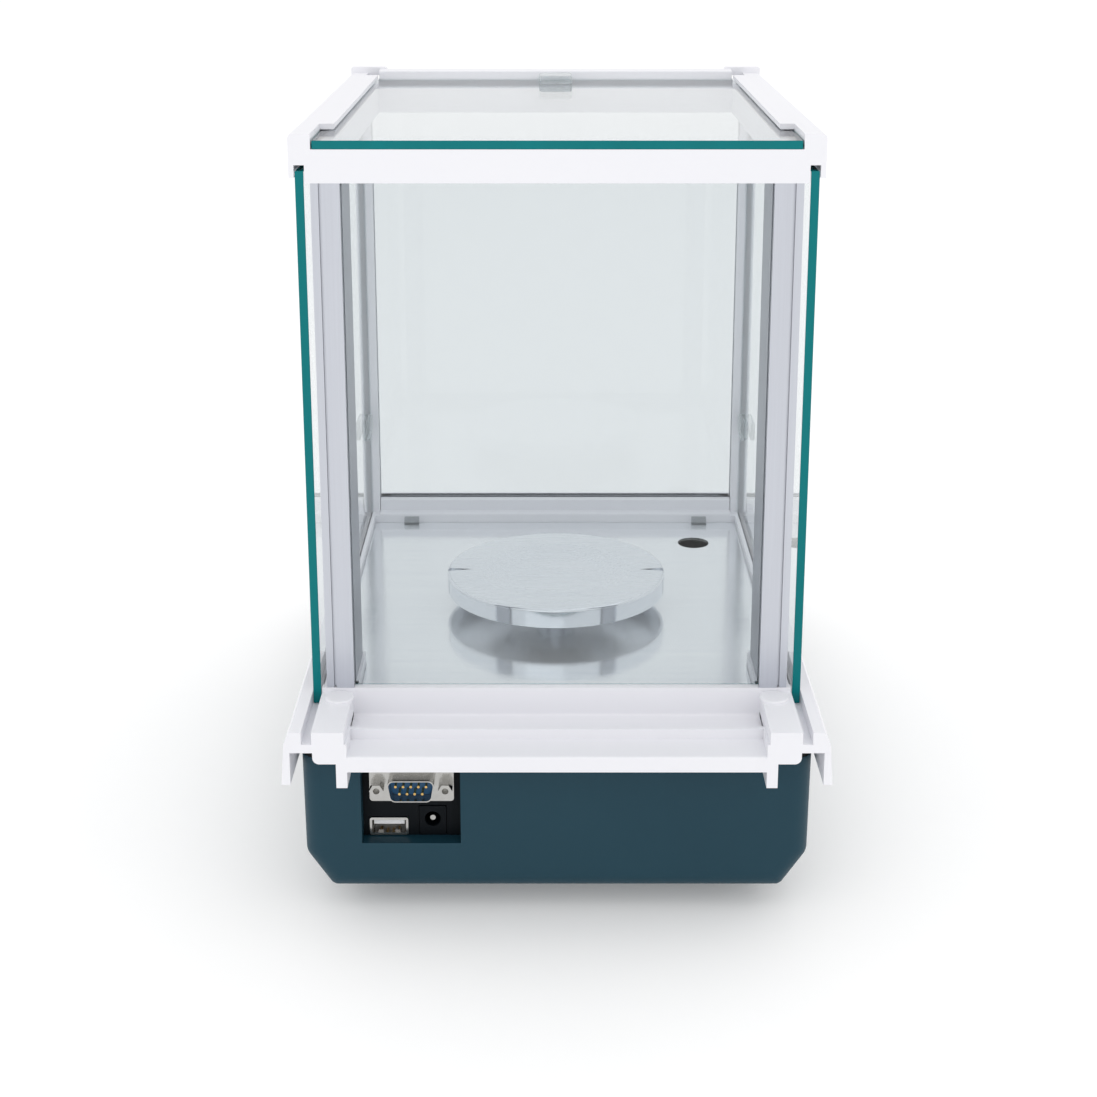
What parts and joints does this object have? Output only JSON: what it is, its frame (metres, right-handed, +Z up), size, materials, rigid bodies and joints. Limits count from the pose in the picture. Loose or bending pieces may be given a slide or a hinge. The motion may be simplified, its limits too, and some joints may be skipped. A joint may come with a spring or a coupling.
{
  "type": "analytical balance",
  "caption": "Enclosed laboratory balance: round steel pan in a glass draft shield with sliding side and top doors, on a dark base with a sloping display console and rear connectors.",
  "frame": {"origin": "middle of the footprint, on the table", "axes": "+X across the width, +Y towards the rear with the connectors, -Y towards the display and keys, +Z up"},
  "size_m": [0.1948, 0.336, 0.2872],
  "materials": {
    "housing_paint": "satin textured paint",
    "white_moulding": "fine satin moulding",
    "seal_foam": "foam",
    "anodised_aluminium": "satin anodised",
    "shield_glass": "polished",
    "clear_grip": "polished",
    "tray_steel": "brushed across the width",
    "pan_steel": "satin, polished edge",
    "level_glass": "polished",
    "black_moulding": "satin",
    "nickel_plate": "bright nickel",
    "blue_insulator": "moulded",
    "gold_contact": "gold plated",
    "circuit_board": "solder mask",
    "window_acrylic": "polished",
    "lcd_glass": "polished",
    "cell_aluminium": "milled",
    "magnet_steel": "turned",
    "coil_copper": "enamelled copper",
    "foot_rubber": "matt",
    "key_cap": "satin"
  },
  "bodies": {
    "balance": {"compensation_coil": "coil_copper", "connector_board": "circuit_board", "connector_panel": "black_moulding", "display_board": "circuit_board", "display_window": "window_acrylic", "floor_clips": "clear_grip", "floor_plate": "tray_steel", "front_feet": "foot_rubber", "front_glass": "shield_glass", "front_post_left": "white_moulding", "front_post_right": "white_moulding", "front_top_beam": "white_moulding", "housing_screws": "nickel_plate", "lcd_module": "lcd_glass", "level_cup": "black_moulding", "level_vial": "level_glass", "lower_housing": "housing_paint", "magnet_system": "magnet_steel", "main_board": "circuit_board", "pan_support": "pan_steel", "post_screw_caps": "white_moulding", "power_jack_body": "black_moulding", "power_jack_pin": "gold_contact", "rear_glass": "shield_glass", "rear_post_left": "anodised_aluminium", "rear_post_right": "anodised_aluminium", "rear_top_beam": "white_moulding", "rim_seal": "seal_foam", "serial_port_insert": "blue_insulator", "serial_port_jackscrews": "nickel_plate", "serial_port_pins": "gold_contact", "serial_port_shell": "nickel_plate", "top_rail_left": "white_moulding", "top_rail_right": "white_moulding", "underhook_plug": "black_moulding", "upper_cover": "white_moulding", "usb_port_shell": "nickel_plate", "usb_port_tongue": "black_moulding", "weigh_cell_frame": "cell_aluminium", "weigh_cell_plate": "cell_aluminium", "weigh_lever": "cell_aluminium"},
    "left_door": {"door_glass_left": "shield_glass", "door_handle_left": "clear_grip"},
    "right_door": {"door_glass_right": "shield_glass", "door_handle_right": "clear_grip"},
    "top_door": {"top_door_glass": "shield_glass", "top_door_handle": "clear_grip"},
    "pan": {"weighing_pan": "pan_steel"},
    "left_foot_pad": {"levelling_pad_left": "foot_rubber"},
    "left_foot_wheel": {"levelling_wheel_left": "black_moulding"},
    "right_foot_pad": {"levelling_pad_right": "foot_rubber"},
    "right_foot_wheel": {"levelling_wheel_right": "black_moulding"},
    "key_calibrate_body": {"key_calibrate": "key_cap"},
    "key_menu_body": {"key_menu": "key_cap"},
    "key_power_body": {"key_power": "key_cap"},
    "key_print_body": {"key_print": "key_cap"},
    "key_tare_body": {"key_tare": "key_cap"},
    "key_units_body": {"key_units": "key_cap"}
  },
  "joints": [
    {"name": "left_door_slide", "type": "slide", "parent": "balance", "child": "left_door", "axis": [0, 1, 0], "range_m": [0, 0.18]},
    {"name": "right_door_slide", "type": "slide", "parent": "balance", "child": "right_door", "axis": [0, 1, 0], "range_m": [0, 0.18]},
    {"name": "top_door_slide", "type": "slide", "parent": "balance", "child": "top_door", "axis": [0, 1, 0], "range_m": [0, 0.165]},
    {"name": "pan_lift", "type": "slide", "parent": "balance", "child": "pan", "axis": [0, 0, 1], "range_m": [0, 0.05]},
    {"name": "left_foot_height", "type": "slide", "parent": "balance", "child": "left_foot_pad", "axis": [0, 0, 1], "range_m": [-0.001, 0.001]},
    {"name": "left_foot_turn", "type": "hinge", "parent": "left_foot_pad", "child": "left_foot_wheel", "pos_m": [-0.062, 0.116, 0.006], "axis": [0, 0, 1], "range_deg": [-360, 360]},
    {"name": "right_foot_height", "type": "slide", "parent": "balance", "child": "right_foot_pad", "axis": [0, 0, 1], "range_m": [-0.001, 0.001]},
    {"name": "right_foot_turn", "type": "hinge", "parent": "right_foot_pad", "child": "right_foot_wheel", "pos_m": [0.062, 0.116, 0.006], "axis": [0, 0, 1], "range_deg": [-360, 360]},
    {"name": "calibrate_key_press", "type": "slide", "parent": "balance", "child": "key_calibrate_body", "axis": [0, 0.3467, -0.938], "range_m": [0, 0.0008], "stiffness_N_per_m": 600},
    {"name": "menu_key_press", "type": "slide", "parent": "balance", "child": "key_menu_body", "axis": [0, 0.3467, -0.938], "range_m": [0, 0.0008], "stiffness_N_per_m": 600},
    {"name": "power_key_press", "type": "slide", "parent": "balance", "child": "key_power_body", "axis": [0, 0.3467, -0.938], "range_m": [0, 0.0008], "stiffness_N_per_m": 600},
    {"name": "print_key_press", "type": "slide", "parent": "balance", "child": "key_print_body", "axis": [0, 0.3467, -0.938], "range_m": [0, 0.0008], "stiffness_N_per_m": 600},
    {"name": "tare_key_press", "type": "slide", "parent": "balance", "child": "key_tare_body", "axis": [0, 0.3467, -0.938], "range_m": [0, 0.0008], "stiffness_N_per_m": 600},
    {"name": "units_key_press", "type": "slide", "parent": "balance", "child": "key_units_body", "axis": [0, 0.3467, -0.938], "range_m": [0, 0.0008], "stiffness_N_per_m": 600}
  ],
  "couplings": [
    {"joint": "left_foot_height", "follows": "left_foot_turn", "m_per_rad": 0.00015915},
    {"joint": "right_foot_height", "follows": "right_foot_turn", "m_per_rad": 0.00015915}
  ]
}
